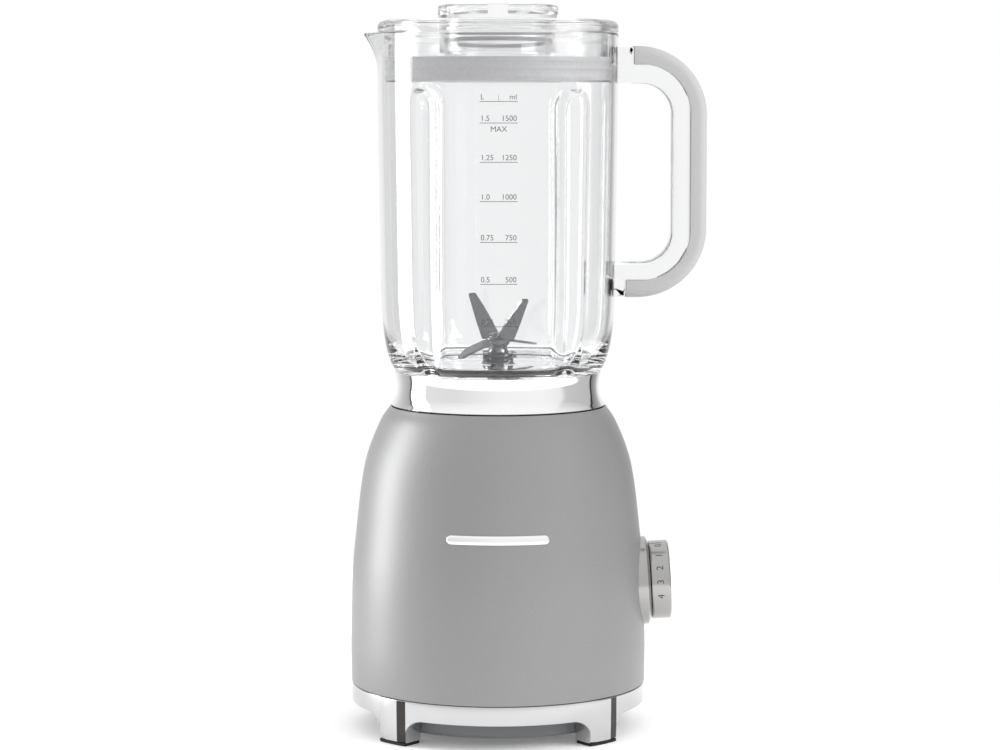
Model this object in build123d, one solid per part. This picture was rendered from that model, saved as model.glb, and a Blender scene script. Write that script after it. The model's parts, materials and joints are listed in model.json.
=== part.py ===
from build123d import *
import os
from math import acos, cos, hypot, radians, sin, tan

# Countertop blender with a 1.5 litre clear jug. Millimetres, +Z up. The origin is on the motor axis, in the
# plane that the rubber feet stand on. +X points to the handle and the speed knob, -X to the spout, -Y to the
# front.

# ---- driving dimensions ----
BASE_RADIUS = 81.8          # widest part of the motor housing
SEAM_Z = 25.2               # joint between the foot ring and the motor housing
RIM_Z = 178.4               # top edge of the motor housing
RIM_RADIUS = 59.6
HOUSING_WALL = 2.4
COLLAR_TOP_Z = 197.8        # where the clear jug meets its metal collar
JUG_RIM_Z = 383.2
JUG_RADIUS = 66.0
JUG_WALL = 3.3
LID_TOP_Z = 390.2
CAP_TOP_Z = 398.6           # highest point of the blender
HANDLE_REACH = 114.3        # outermost point of the grip, from the axis
KNOB_Z = 80.4               # height of the knob axis where it leaves the housing
KNOB_TILT = 3.0             # the knob stands square to the tapering wall, so it leans up
TOUCH = 0.05                # set back from a curved face that a piece is seated on

os.makedirs("parts", exist_ok=True)


# ---- helpers ----
def outline(*steps):
    """Closed face in the XZ plane. A step is a point joined by a line, or a list of points joined by a curve."""
    here, edges = steps[0], []
    for step in [*steps[1:], steps[0]]:
        if isinstance(step, list):
            edges.append(Spline(here, *step))
            here = step[-1]
        elif step != here:
            edges.append(Line(here, step))
            here = step
    return Plane.XZ * make_face(Curve() + edges)


def turned(*steps, span=360.0, centre=0.0):
    """Body of revolution about Z from an outline of (radius, height), whole or as a sector."""
    body = revolve(outline(*steps), Axis.Z, revolution_arc=span)
    return Rot(0, 0, centre - span / 2) * body if span < 360 else body


def disc(radius, low, high):
    return Pos(0, 0, (low + high) / 2) * Cylinder(radius, high - low)


def tube(outer, inner, low, high):
    return disc(outer, low, high) - disc(inner, low - 1, high + 1)


def block(x, y, z):
    """Box given by its low and high limits along each axis."""
    size = [limits[1] - limits[0] for limits in (x, y, z)]
    return Pos(*[sum(limits) / 2 for limits in (x, y, z)]) * Box(*size)


def at(radius, azimuth, shape):
    """Shape moved out to a radius and then turned to an azimuth about Z."""
    return Rot(0, 0, azimuth) * Pos(radius, 0, 0) * shape


def ring_of(count, shape, first=0.0):
    return [Rot(0, 0, first + i * 360 / count) * shape for i in range(count)]


def joined(shapes):
    body = shapes[0]
    for shape in shapes[1:]:
        body = body + shape
    return body


def less(body, shapes):
    for shape in shapes:
        body = body - shape
    return body


def group(shapes):
    return Compound(children=list(shapes))


def save(name, shape):
    """One STEP per piece; a group of identical pieces keeps its separate solids."""
    solids = shape.solids()
    export_step(solids[0] if len(solids) == 1 else group(solids), f"parts/{name}.step")
    print(name, len(solids), round(sum(s.volume for s in solids)))


# ---- motor housing ----
LEG_AZIMUTHS = (45, 135, 225, 315)
SCREW_CIRCLE = 73.4         # radius of the screws that hold the foot ring
SEAT_LIP_Z = 174.4          # ledge inside the rim that the jug seat rests on
SEAT_LIP_RADIUS = 55.5
RIM_THICKNESS = 0.9
BADGE_Z = 114.0

knob_axis = Pos(BASE_RADIUS - 1.2, 0, KNOB_Z) * Rot(0, 90 - KNOB_TILT, 0)   # local +Z points out along the knob


def housing_profile(inset):
    """Dome of the housing from seam to rim as (radius, height) points, moved in by inset."""
    return [
        (BASE_RADIUS - 0.3 - inset, SEAM_Z),
        (BASE_RADIUS - inset, 45.0),
        (80.8 - inset, 86.0),
        (78.5 - inset, 111.0),
        (75.5 - inset, 136.6 - 0.3 * inset),
        (71.9 - inset, 153.3 - 0.5 * inset),
        (65.1 - 0.8 * inset, 170.1 - 0.8 * inset),
        (RIM_RADIUS - 0.5 * inset, RIM_Z - 1.8 * inset),
    ]


def housing_envelope():
    """Solid space inside the housing's outer skin, used to seat trim on it."""
    skin = housing_profile(-TOUCH)
    return turned((0, SEAM_Z), skin[0], skin[1:], (0, RIM_Z))


def body_shell():
    outer, inner = housing_profile(0), housing_profile(HOUSING_WALL)
    shell = turned(
        outer[0],
        outer[1:],
        (RIM_RADIUS - RIM_THICKNESS, RIM_Z),
        (RIM_RADIUS - RIM_THICKNESS, SEAT_LIP_Z),
        (SEAT_LIP_RADIUS, SEAT_LIP_Z),
        (SEAT_LIP_RADIUS, inner[-1][1] - 0.6),
        (inner[-1][0], inner[-1][1] - 0.6),
        inner[-1],
        inner[-2::-1],
    )
    boss = disc(4.2, SEAM_Z, 46) + block((0, 7.0), (-1.6, 1.6), (SEAM_Z, 44))
    pilot = disc(1.5, SEAM_Z - 1, 40)
    shell = joined([shell, *[at(SCREW_CIRCLE, a, boss) for a in LEG_AZIMUTHS]])
    knob_hole = knob_axis * disc(9.0, -12, 12)
    return less(shell, [*[at(SCREW_CIRCLE, a, pilot) for a in LEG_AZIMUTHS], knob_hole])


def badge_bar():
    """Plain domed bar on the front, bent to the housing and seated on it."""
    length, height, proud = 56.0, 5.2, 1.3
    wall = 78.2             # housing radius at the badge
    low, high = BADGE_Z - height / 2, BADGE_Z + height / 2
    bar = turned((wall - 2, low), (wall + 0.7, low), [(wall + proud, BADGE_Z), (wall + 0.7, high)],
                 (wall - 2, high), span=46, centre=270)
    mask = Pos(0, -wall, BADGE_Z) * Rot(90, 0, 0) * extrude(RectangleRounded(length, height, 2.55), 24, both=True)
    return (bar & mask) - housing_envelope()


# ---- foot ring, feet and bottom ----
RING_RADIUS = 81.4
RING_INNER = 77.4
LEG_INNER = 68.5
LEG_RADIUS = 82.1
LEG_FOOT_RADIUS = 81.8
LEG_SPAN = 14.4             # degrees of the ring that each leg takes
ARCH_TOP = 14.6
ARCH_HALF_ANGLE = 37.8      # an arch's sides are the flanks of its two legs
ARCH_CORNER = 14.0
PAD_HEIGHT = 1.8
RING_TOP_Z = SEAM_Z - 0.25


def arch(azimuth):
    """Cutter for the opening between two legs: rounded on top, and narrower towards the axis."""
    def face(distance):
        plane = Plane((distance, 0, 0), x_dir=(0, 1, 0), z_dir=(1, 0, 0))
        width = 2 * distance * tan(radians(ARCH_HALF_ANGLE))
        return plane * RectangleRounded(width, 2 * ARCH_TOP, ARCH_CORNER)
    return Rot(0, 0, azimuth) * loft([face(RING_RADIUS * 0.55), face(RING_RADIUS * 1.1)], ruled=True)


def foot_ring():
    ring = turned((RING_INNER, 8.0), (RING_RADIUS, 8.0), (RING_RADIUS, RING_TOP_Z - 0.6),
                  (RING_RADIUS - 0.6, RING_TOP_Z), (RING_INNER, RING_TOP_Z))
    ledge = turned((RING_INNER - 2.9, 18.6), (RING_INNER + 0.5, 18.6), (RING_INNER + 0.5, 21.5),
                   (RING_INNER - 2.9, 21.5))
    leg = turned(
        (LEG_INNER, PAD_HEIGHT),
        (LEG_FOOT_RADIUS - 0.8, PAD_HEIGHT),
        (LEG_FOOT_RADIUS, PAD_HEIGHT + 0.8),
        [(LEG_RADIUS - 0.5, 9.0), (LEG_RADIUS, 16.0)],
        (LEG_RADIUS, RING_TOP_Z - 0.6),
        (LEG_RADIUS - 0.6, RING_TOP_Z),
        (LEG_INNER, RING_TOP_Z),
        span=LEG_SPAN,
    )
    shank, counterbore = disc(2.1, PAD_HEIGHT - 1, SEAM_Z), disc(4.0, PAD_HEIGHT - 1, 17.0)
    body = joined([ring, ledge, *[Rot(0, 0, a) * leg for a in LEG_AZIMUTHS]])
    body = less(body, [arch(a) for a in (0, 90, 180, 270)])
    return less(body, [at(SCREW_CIRCLE, a, shank + counterbore) for a in LEG_AZIMUTHS])


def base_screws():
    slot = block((-2.6, 2.6), (-0.5, 0.5), (14.0, 15.4))
    screw = disc(3.6, 14.6, 17.0) + disc(1.45, 17.0, 38.0) - slot
    return group(at(SCREW_CIRCLE, a, screw) for a in LEG_AZIMUTHS)


def foot_pads():
    low, high = LEG_INNER + 0.5, LEG_FOOT_RADIUS - 0.3
    pad = turned((low, 0.5), (low + 0.5, 0.0), (high - 0.6, 0.0), (high, 0.6), (high, PAD_HEIGHT),
                 (low, PAD_HEIGHT), span=LEG_SPAN - 0.6)
    plug = Pos(SCREW_CIRCLE, 0, 0) * disc(3.8, PAD_HEIGHT - 0.2, 12.0)
    return group(Rot(0, 0, a) * (pad + plug) for a in LEG_AZIMUTHS)


MOTOR_POST_CIRCLE = 52.0
MOTOR_POST_TOP = 27.5
PLATE_LOW_Z = 5.0
PLATE_TOP_Z = 7.6
PLATE_RADIUS = 67.8
GLAND_Y = 54.0
GLAND_HOLE = 6.6


def bottom_plate():
    dish = turned((0, PLATE_LOW_Z), (PLATE_RADIUS - 1.8, PLATE_LOW_Z), (PLATE_RADIUS, PLATE_LOW_Z + 1.8),
                  (PLATE_RADIUS, 21.6), (77.1, 21.6), (77.1, 24.5), (PLATE_RADIUS - 2.6, 24.5),
                  (PLATE_RADIUS - 2.6, PLATE_TOP_Z), (0, PLATE_TOP_Z))
    post = tube(4.5, 1.4, PLATE_TOP_Z - 0.1, MOTOR_POST_TOP)
    slots = [at(r, a, block((-1.3, 1.3), (-r * sin(radians(13)), r * sin(radians(13))), (4, 10)))
             for r in (18.0, 25.0, 32.0, 39.0) for a in range(0, 360, 60)]
    leg_gaps = [turned((PLATE_RADIUS + 0.1, 20), (80, 20), (80, 26), (PLATE_RADIUS + 0.1, 26),
                       span=LEG_SPAN + 1.2, centre=a)
                for a in LEG_AZIMUTHS]
    gland_hole = Pos(0, GLAND_Y, 0) * disc(GLAND_HOLE, 4, 10)
    body = joined([dish, *[at(MOTOR_POST_CIRCLE, a, post) for a in LEG_AZIMUTHS]])
    return less(body, [*slots, *leg_gaps, gland_hole])


def cord_gland():
    """Grommet in the bottom, behind the motor, that the mains lead passes through."""
    gland = turned((3.6, 3.9), (7.6, 3.9), (8.6, 4.8), (8.6, PLATE_LOW_Z), (GLAND_HOLE - 0.1, PLATE_LOW_Z),
                   (GLAND_HOLE - 0.1, PLATE_TOP_Z), (8.2, PLATE_TOP_Z), (7.4, 10.6), (3.6, 10.6))
    return Pos(0, GLAND_Y, 0) * gland


# ---- motor ----
SHAFT_RADIUS = 4.0
RUNNING = 0.02              # radial clearance of the motor shaft in its bearings
ROTOR_RADIUS = 19.6
STATOR_BORE = 20.4
STACK_LOW, STACK_HIGH = 78.0, 116.0
LOWER_BEARING_Z = 39.0
UPPER_BEARING_Z = 134.0
BEARING_WIDTH = 7.0
BEARING_RADIUS = 11.0
COMMUTATOR_LOW, COMMUTATOR_HIGH = 52.0, 66.0
COMMUTATOR_RADIUS = 11.5
FAN_LOW, FAN_HIGH = 15.0, 27.0
MOTOR_BOLTS = [(x, y) for x in (-32, 32) for y in (-21, 21)]
BOLT_CIRCLE = hypot(32, 21)
BOLT_AZIMUTHS = (33.3, 146.7, 213.3, 326.7)
ARM_LOW, ARM_HIGH = 37.5, 41.0


def at_bolts(shape):
    return [Pos(x, y, 0) * shape for x, y in MOTOR_BOLTS]


def motor_shaft():
    journal = disc(SHAFT_RADIUS - RUNNING, 13.0, 172.0)
    return joined([journal, disc(5.6, 47.2, 51.0), disc(5.6, 126.0, 133.0), disc(3.0, 171.0, 179.6)])


def bearing(low):
    high = low + BEARING_WIDTH
    races = tube(BEARING_RADIUS, 8.9, low, high) + tube(6.0, SHAFT_RADIUS, low, high)
    return races + tube(9.0, 5.9, low + 0.5, high - 0.5)


def rotor_core():
    slot = block((12.4, 18.8), (-1.6, 1.6), (70, 130)) + block((18, 21), (-0.6, 0.6), (70, 130))
    return less(tube(ROTOR_RADIUS, SHAFT_RADIUS, STACK_LOW, STACK_HIGH), ring_of(12, slot))


def armature_winding():
    """Wound ends above and below the stack, joined by the wires in its slots."""
    top = turned((7.0, STACK_HIGH), (18.2, STACK_HIGH), [(18.4, STACK_HIGH + 4), (15, STACK_HIGH + 8)],
                 [(9.5, STACK_HIGH + 9), (7.0, STACK_HIGH + 6)])
    bottom = turned((7.0, STACK_LOW), (18.2, STACK_LOW), [(18.4, STACK_LOW - 4), (15, STACK_LOW - 7)],
                    [(9.5, STACK_LOW - 8), (7.0, STACK_LOW - 5)])
    wire = block((12.8, 18.4), (-1.2, 1.2), (STACK_LOW - 0.5, STACK_HIGH + 0.5))
    return joined([top, bottom, *ring_of(12, wire)])


def commutator():
    drum = tube(COMMUTATOR_RADIUS, SHAFT_RADIUS, COMMUTATOR_LOW, COMMUTATOR_HIGH)
    risers = tube(12.8, SHAFT_RADIUS, COMMUTATOR_HIGH - 2.2, COMMUTATOR_HIGH)
    slit = block((10.5, 13.5), (-0.25, 0.25), (COMMUTATOR_LOW - 1, COMMUTATOR_HIGH + 1))
    return less(drum + risers, ring_of(24, slit))


def cooling_fan():
    hub = tube(9.0, SHAFT_RADIUS, FAN_LOW, FAN_HIGH + 1.5) + tube(34.0, 6.0, FAN_HIGH - 1.8, FAN_HIGH)
    blade = Pos(21, 0, 0) * Rot(0, 0, 24) * block((-13, 13), (-0.75, 0.75), (FAN_LOW, FAN_HIGH - 1))
    return joined([hub, *ring_of(12, blade)]) - disc(SHAFT_RADIUS, 10, 30)


def stator_core():
    stack = Pos(0, 0, (STACK_LOW + STACK_HIGH) / 2) * extrude(
        RectangleRounded(78, 62, 14), (STACK_HIGH - STACK_LOW) / 2, both=True)
    cuts = [disc(STATOR_BORE, 70, 130), *at_bolts(disc(2.2, 70, 130))]
    for side in (1, -1):
        cuts.append(block((-17, 17), sorted((side * 20.9, side * 28.3)), (70, 130)))
        cuts.append(block((-7.5, 7.5), sorted((side * 18.0, side * 23.0)), (70, 130)))
    return less(stack, cuts)


def field_coils():
    """Two coils that lie in the stator's windows and stand proud of the stack at both ends."""
    coil = block((-16.2, 16.2), (-3.3, 3.3), (STACK_LOW - 8, STACK_HIGH + 8))
    coil = fillet(coil.edges().filter_by(Axis.Y), 6.0)
    return group(Pos(0, side * 24.6, 0) * coil for side in (1, -1))


def motor_bolts():
    bolt = joined([disc(2.0, ARM_LOW - 0.5, 131.5), disc(3.8, ARM_LOW - 3, ARM_LOW), disc(3.8, 131.0, 134.0)])
    return group(at_bolts(bolt))


def lower_bracket():
    """Die-cast end frame: bearing pocket, arms, four long posts, an air duct and ears on rubber dampers."""
    high = LOWER_BEARING_Z + BEARING_WIDTH
    pocket = disc(14.5, ARM_LOW, high + 1.5)
    duct = tube(45.4, 43.2, 28.5, ARM_HIGH)
    arm = block((10, 44.0), (-3, 3), (ARM_LOW, ARM_HIGH))
    ear = disc(5.0, 31.5, ARM_HIGH) + block((-8, 0), (-3.5, 3.5), (31.5, ARM_HIGH))
    body = joined([pocket, duct, *[Rot(0, 0, a) * arm for a in (*BOLT_AZIMUTHS, 90, 270)],
                   *at_bolts(disc(4.6, ARM_LOW, STACK_LOW)),
                   *[at(MOTOR_POST_CIRCLE, a, ear) for a in LEG_AZIMUTHS]])
    return less(body, [disc(BEARING_RADIUS, 30, high), disc(8.0, 30, 60), *at_bolts(disc(2.2, 30, 90)),
                       *[at(MOTOR_POST_CIRCLE, a, disc(1.6, 27, 45)) for a in LEG_AZIMUTHS]])


def upper_bracket():
    """End frame over the stack, with a neck that the top damper holds."""
    low, high = UPPER_BEARING_Z, UPPER_BEARING_Z + BEARING_WIDTH
    arm = block((10, BOLT_CIRCLE), (-3, 3), (127, 131))
    body = joined([disc(14.5, 127, 150), *[Rot(0, 0, a) * arm for a in BOLT_AZIMUTHS],
                   *at_bolts(disc(4.6, STACK_HIGH, 131))])
    return less(body, [disc(7.0, 120, 160), disc(BEARING_RADIUS, low, high), disc(9.0, high - 1, 160),
                       *at_bolts(disc(2.2, 110, 135))])


def motor_dampers():
    """Rubber rings under the motor's four ears and one round its neck."""
    foot = tube(4.5, 1.6, MOTOR_POST_TOP, 31.5)
    return group([*[at(MOTOR_POST_CIRCLE, a, foot) for a in LEG_AZIMUTHS], tube(18.6, 14.5, 142.0, 150.0)])


def motor_screws():
    screw = disc(3.5, ARM_HIGH, ARM_HIGH + 2.4) + disc(1.35, 14.0, ARM_HIGH + 0.5)
    return group(at(MOTOR_POST_CIRCLE, a, screw) for a in LEG_AZIMUTHS)


BRUSH_Z = 58.0


def brush_holders():
    """Boxes on the lower bracket's two side arms, each with a channel for a brush and its spring."""
    body = block((14.8, 34.0), (-5.0, 5.0), (ARM_HIGH, BRUSH_Z + 6.0))
    channel = block((12.0, 32.6), (-3.1, 3.1), (BRUSH_Z - 4.1, BRUSH_Z + 4.1))
    return group(Rot(0, 0, a) * (body - channel) for a in (90, 270))


def carbon_brushes():
    brush = block((11.0, 23.0), (-3.0, 3.0), (BRUSH_Z - 4.0, BRUSH_Z + 4.0)) - disc(COMMUTATOR_RADIUS + 0.1, 40, 80)
    return group(Rot(0, 0, a) * brush for a in (90, 270))


def brush_springs():
    spring = Pos(27.8, 0, BRUSH_Z) * Rot(0, 90, 0) * tube(2.6, 1.9, -4.75, 4.75)
    return group(Rot(0, 0, a) * spring for a in (90, 270))


def control_board():
    board = block((46.6, 48.2), (-26, 26), (56, 112))
    chips = [block((43.0, 46.7), (-20, -8), (60, 72)), block((42.0, 46.7), (6, 18), (60, 70)),
             block((44.6, 46.7), (-6, 6), (92, 104)), Pos(44.4, 15, 96) * Rot(0, 90, 0) * Cylinder(5, 4.8)]
    return joined([board, *chips])


# ---- speed knob ----
KNOB_RADIUS = 21.8
KNOB_FACE = 14.8            # distance of the knob's face along its axis
FLANGE_RADIUS = 24.5
FLANGE_FACE = 3.7
SPINDLE_RADIUS = 3.0


def knob_flange():
    ring = turned((9.5, -10), (FLANGE_RADIUS, -10), (FLANGE_RADIUS, FLANGE_FACE - 2.6),
                  [(FLANGE_RADIUS - 0.9, FLANGE_FACE - 0.6), (FLANGE_RADIUS - 3.0, FLANGE_FACE)],
                  (9.5, FLANGE_FACE))
    return knob_axis * ring - housing_envelope()


def knob():
    back = FLANGE_FACE + 0.4
    cap = turned((0, 11.6), (SPINDLE_RADIUS + 0.02, 11.6), (SPINDLE_RADIUS + 0.02, back), (KNOB_RADIUS - 0.6, back),
                 (KNOB_RADIUS, back + 0.6), (KNOB_RADIUS, KNOB_FACE - 1.9),
                 [(KNOB_RADIUS - 0.5, KNOB_FACE - 0.6), (KNOB_RADIUS - 1.9, KNOB_FACE)],
                 (KNOB_RADIUS - 3.4, KNOB_FACE), [(KNOB_RADIUS - 12, KNOB_FACE - 0.8), (0, KNOB_FACE - 1.0)])
    return knob_axis * cap


def knob_spindle():
    return knob_axis * disc(SPINDLE_RADIUS, -22.0, 11.5)


def switch_body():
    """Rotary switch behind the housing wall; its neck goes through the wall and carries the spindle."""
    case = block((-13, 13), (-13, 13), (-28, -12)) + disc(8.4, -12.5, FLANGE_FACE - 0.6)
    return knob_axis * (case - disc(SPINDLE_RADIUS + TOUCH, -22.5, 6))


# ---- jug seat, safety interlock and drive ----
SHELF_Z = 178.0
BOSS_TOP_Z = 185.6
BOSS_RADIUS = 47.5
WELL_RADIUS = 19.5
PLUNGER_CIRCLE = 50.6
PLUNGER_RADIUS = 1.5
PLUNGER_AZIMUTH = 150
DRIVE_LOW, DRIVE_HIGH = 176.2, 186.0
LOBE_REACH = 12.0
LOBE_WIDTH = 4.8
LOBE_GAP = 0.4


def jug_seat():
    """Black moulding that closes the housing: a shelf, a raised boss and a well for the coupling."""
    seat = turned(
        (WELL_RADIUS, BOSS_TOP_Z), (BOSS_RADIUS - 1.5, BOSS_TOP_Z), (BOSS_RADIUS, BOSS_TOP_Z - 1.5),
        (BOSS_RADIUS, SHELF_Z), (58.3, SHELF_Z), (58.3, SEAT_LIP_Z), (SEAT_LIP_RADIUS - 0.3, SEAT_LIP_Z),
        (SEAT_LIP_RADIUS - 0.3, 171.5), (52.9, 171.5), (52.9, SHELF_Z - 2.6), (45.0, SHELF_Z - 2.6),
        (45.0, BOSS_TOP_Z - 2.5), (22.0, BOSS_TOP_Z - 2.5), (22.0, 172.0), (21.0, 172.0), (21.0, 142.0),
        (18.6, 142.0), (18.6, 172.0), (5.5, 172.0), (5.5, 174.4), (WELL_RADIUS, 174.4),
    )
    lug = block((BOSS_RADIUS - 1, BOSS_RADIUS + 2.3), (-5, 5), (SHELF_Z - 0.5, 182.0))
    guide = at(PLUNGER_CIRCLE, PLUNGER_AZIMUTH, disc(PLUNGER_RADIUS + TOUCH, 170, 182))
    return joined([seat, *ring_of(3, lug, 30)]) - guide


def interlock_plunger():
    pin = disc(PLUNGER_RADIUS, 160.2, 179.0) + disc(3.0, 163.0, 165.0)
    return at(PLUNGER_CIRCLE, PLUNGER_AZIMUTH, pin)


def interlock_switch():
    """Small switch under the plunger, on a leg that hangs from the seat."""
    case = block((-6.0, 5.0), (-4.5, 4.5), (147.0, 159.6))
    leg = block((-6.0, -4.6), (-4.5, 4.5), (159.0, SHELF_Z - 2.6))
    return at(PLUNGER_CIRCLE, PLUNGER_AZIMUTH, case + leg)


def star(reach, width, hub, low, high):
    return joined([disc(hub, low, high), *ring_of(6, block((0, reach), (-width / 2, width / 2), (low, high)))])


def drive_coupling():
    cup = turned((0, DRIVE_LOW), (15.5, DRIVE_LOW), (16.5, DRIVE_LOW + 1), (16.5, DRIVE_HIGH - 1),
                 (15.5, DRIVE_HIGH), (0, DRIVE_HIGH))
    socket = star(LOBE_REACH + LOBE_GAP, LOBE_WIDTH + 2 * LOBE_GAP, 8.4, 180.0, DRIVE_HIGH + 1)
    return less(cup, [socket, disc(3.02, DRIVE_LOW - 1, 181)])


def driven_coupling():
    body = star(LOBE_REACH, LOBE_WIDTH, 8.0, 180.5, 186.2) + disc(8.0, 186.0, 188.3)
    return body - disc(BLADE_SHAFT_RADIUS + 0.01, 182.0, 189.0)


# ---- jug ----
NECK_RADIUS = 53.2
NECK_INNER = 47.4
NECK_LOW_Z = 188.8
RING_LOW_Z = 179.4
FLUTE_CENTRE = 79.0         # the four flutes are cylinders that press into the wall from outside
FLUTE_RADIUS = 17.5
FLUTE_AZIMUTHS = (52, 128, 232, 308)
FLUTE_LOW, FLUTE_HIGH = 204.0, 350.0
CORE_REACH = 105.2          # outer face of the clear handle core, where the soft grip begins
FINGER_REACH = 95.2
GRIP_LOW, GRIP_HIGH = 238.8, 376.2
CORE_LOW, CORE_HIGH = 248.3, 366.2
FINGER_LOW, FINGER_HIGH = 257.8, 355.8
GRIP_START_HIGH, GRIP_START_LOW = 74.5, 70.5
SPOUT_REACH = 10.0          # how far the beak stands out from the rim


def jug_outside():
    return turned((0, NECK_LOW_Z), (NECK_RADIUS, NECK_LOW_Z), (NECK_RADIUS, COLLAR_TOP_Z + 0.2),
                  (56.6, COLLAR_TOP_Z + 0.2),
                  [(59.6, 203.5), (62.6, 216.0), (64.2, 237.0), (64.9, 278.0), (65.8, 345.0),
                   (JUG_RADIUS, JUG_RIM_Z)], (0, JUG_RIM_Z))


def jug_inside():
    return turned((0, NECK_LOW_Z - 1), (NECK_INNER, NECK_LOW_Z - 1), (NECK_INNER, 200.4),
                  [(53.8, 204.2), (59.1, 217.0), (60.9, 238.0), (61.6, 278.0), (62.5, 345.0),
                   (JUG_RADIUS - JUG_WALL, JUG_RIM_Z + 1)], (0, JUG_RIM_Z + 1))


def flutes(grow):
    """Four upright round-ended rods, grown by the wall's thickness for the inside."""
    radius = FLUTE_RADIUS + grow
    low, high = FLUTE_LOW + FLUTE_RADIUS, FLUTE_HIGH - FLUTE_RADIUS
    rod = disc(radius, low, high) + Pos(0, 0, low) * Sphere(radius) + Pos(0, 0, high) * Sphere(radius)
    return [at(FLUTE_CENTRE, a, rod) for a in FLUTE_AZIMUTHS]


def spout(inset):
    """Beak on the -X side that grows out of the wall towards the rim."""
    base = JUG_RADIUS - 0.6 - inset     # the flat sides run just under tangent to the jug
    sections = []
    for z, grow in ((364.0, 0.6), (370.0, 2.2), (376.6, 5.6), (JUG_RIM_Z + (1 if inset else 0), SPOUT_REACH)):
        reach = JUG_RADIUS + grow - 1.15 * inset
        swing = acos(base / reach)
        x, y = base * cos(swing), base * sin(swing)
        beak = Polygon((-reach, 0), (-x, -y), (-50, -y), (-50, y), (-x, y), align=None)
        point = beak.vertices().sort_by(Axis.X)[0]
        sections.append(Pos(0, 0, z) * fillet(point, 2.6 if inset else 3.2))
    return loft(sections)


def bar_in_plane(reach, low, high, radius, half_depth):
    """Slab in the XZ plane with rounded corners, that reaches from inside the jug out to reach."""
    inner = 30.0
    face = Pos((inner + reach) / 2, (low + high) / 2) * RectangleRounded(reach - inner, high - low, radius)
    return extrude(Plane.XZ * face, half_depth, both=True)


def handle_core():
    half = 10.0
    core = bar_in_plane(CORE_REACH, CORE_LOW, CORE_HIGH, 27.0, half)
    core = joined([core, block((55, GRIP_START_HIGH), (-half, half), (FINGER_HIGH - 4, GRIP_HIGH)),
                   block((55, GRIP_START_LOW), (-half, half), (GRIP_LOW, FINGER_LOW + 4))])
    core = core - bar_in_plane(FINGER_REACH, FINGER_LOW, FINGER_HIGH, 17.0, 20)
    core = core - block((0, 58), (-20, 20), (200, 400))
    sides = core.faces().filter_by(Axis.Y)
    return fillet(sides.edges().filter_by(lambda e: e.center().X > 60), 2.2)


def jug_body():
    shell = less(jug_outside(), flutes(0))
    cavity = less(jug_inside(), flutes(JUG_WALL - 0.2))
    return less(joined([shell, handle_core(), spout(0)]), [cavity, spout(2.8)])


def handle_grip():
    """Soft grip round the outside of the clear core, with rounded outer edges."""
    half = 11.4
    grip = bar_in_plane(HANDLE_REACH, GRIP_LOW, GRIP_HIGH, 38.0, half)
    grip = fillet(grip.faces().filter_by(Axis.Y).edges(), 4.6)
    return less(grip, [bar_in_plane(CORE_REACH, CORE_LOW, CORE_HIGH, 27.0, 20),
                       block((0, GRIP_START_HIGH), (-20, 20), (300, 400)),
                       block((0, GRIP_START_LOW), (-20, 20), (200, 300))])


def collar():
    return turned((59.0, 178.8), [(57.4, 182.0), (55.7, 188.5), (56.9, COLLAR_TOP_Z)],
                  (NECK_RADIUS + 0.1, COLLAR_TOP_Z), (NECK_RADIUS + 0.1, 181.4), (56.4, 178.8))


def locking_ring():
    """Screws on to the jug's neck and holds the blade base up against its gasket."""
    ring = turned((50.4, RING_LOW_Z), (NECK_RADIUS, RING_LOW_Z), (NECK_RADIUS, 188.6), (30.0, 188.6), (30.0, 186.2),
                  (50.4, 186.2))
    notch = block((49.8, 51.2), (-3, 3), (RING_LOW_Z - 1, 184.5))
    return less(ring, ring_of(12, notch, 15))


def jug_gasket():
    return tube(47.1, 42.5, 188.6, 190.4)


# ---- blade unit ----
BLADE_SHAFT_RADIUS = 3.96
BUSH_BORE = 4.0
HUB_BORE = 5.2
HUB_TOP_Z = 203.6
BLADE_LOW_Z = 212.2
BLADE_THICKNESS = 1.6


def blade_base():
    """Pressed steel floor of the jug with a raised hub for the bearings."""
    return turned((44.6, 190.4), (47.0, 190.4), (47.0, 193.0), (46.0, 194.0), (11.0, 194.0), (8.8, 195.4),
                  (8.5, HUB_TOP_Z - 0.5), (8.0, HUB_TOP_Z), (HUB_BORE, HUB_TOP_Z), (HUB_BORE, 189.0), (9.4, 189.0),
                  (9.4, 192.0), (44.6, 192.0))


def bearing_bushes():
    return group([tube(HUB_BORE, BUSH_BORE, 189.4, 194.0), tube(HUB_BORE, BUSH_BORE, 197.6, 203.2)])


def shaft_seal():
    return tube(HUB_BORE, BUSH_BORE + 0.04, 194.4, 197.2)


def blade_shaft():
    return joined([disc(BLADE_SHAFT_RADIUS, 182.1, BLADE_LOW_Z), disc(3.0, BLADE_LOW_Z - 1, 218.4)])


def blade_spacer():
    """Waisted sleeve that carries the blades clear of the hub."""
    low = HUB_TOP_Z + 0.3
    return turned((BLADE_SHAFT_RADIUS, low), (5.9, low), (5.9, low + 1.0), (5.0, low + 3.0), (5.0, low + 4.6),
                  (6.4, BLADE_LOW_Z - 1.2), (6.4, BLADE_LOW_Z), (BLADE_SHAFT_RADIUS, BLADE_LOW_Z))


def wing(length, root, tip, slope, azimuth, sweep):
    """Tapered cutting wing that leaves the hub at a slope, sharpened along its leading edge."""
    face = Polygon((0, -root / 2), (length * 0.45, -root / 2 + 0.3), (length, sweep - tip / 2),
                   (length, sweep + tip / 2), (0, root / 2), align=None)
    blank = extrude(face, BLADE_THICKNESS)
    edge = Pos(length / 2, -root / 2, BLADE_THICKNESS) * Rot(32, 0, 0) * Box(length * 1.2, 3.2, 1.6)
    blank = blank - edge
    return Rot(0, 0, azimuth) * Pos(6.9, 0, 0) * Rot(0, -slope, 0) * blank


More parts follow.
